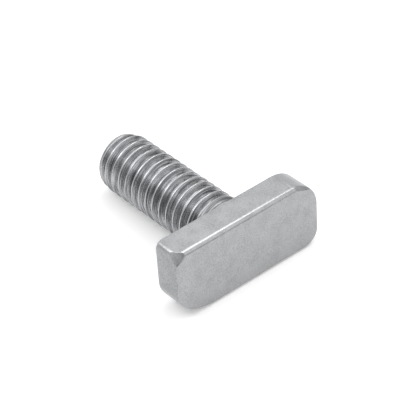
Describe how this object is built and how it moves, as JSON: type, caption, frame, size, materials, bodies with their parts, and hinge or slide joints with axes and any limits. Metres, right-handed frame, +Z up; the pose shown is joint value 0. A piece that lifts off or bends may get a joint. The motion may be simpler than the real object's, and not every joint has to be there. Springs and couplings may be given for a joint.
{
  "type": "t slot bolt",
  "caption": "T-slot bolt with a flat oblong hammer head, two opposite corners rounded for turning in the slot, on a short fully threaded shank.",
  "frame": {"origin": "the middle of the bounding box, on the surface that the bolt lies on", "axes": "+X runs from the head towards the tip, which slopes down by 3.0 degrees; Y is along the head; +Z is up"},
  "size_m": [0.0194, 0.0166, 0.0076],
  "materials": {
    "bolt": "satin stainless steel, tumbled, with a rolled thread"
  },
  "bodies": {
    "root": {"t_bolt": "bolt"}
  },
  "joints": []
}
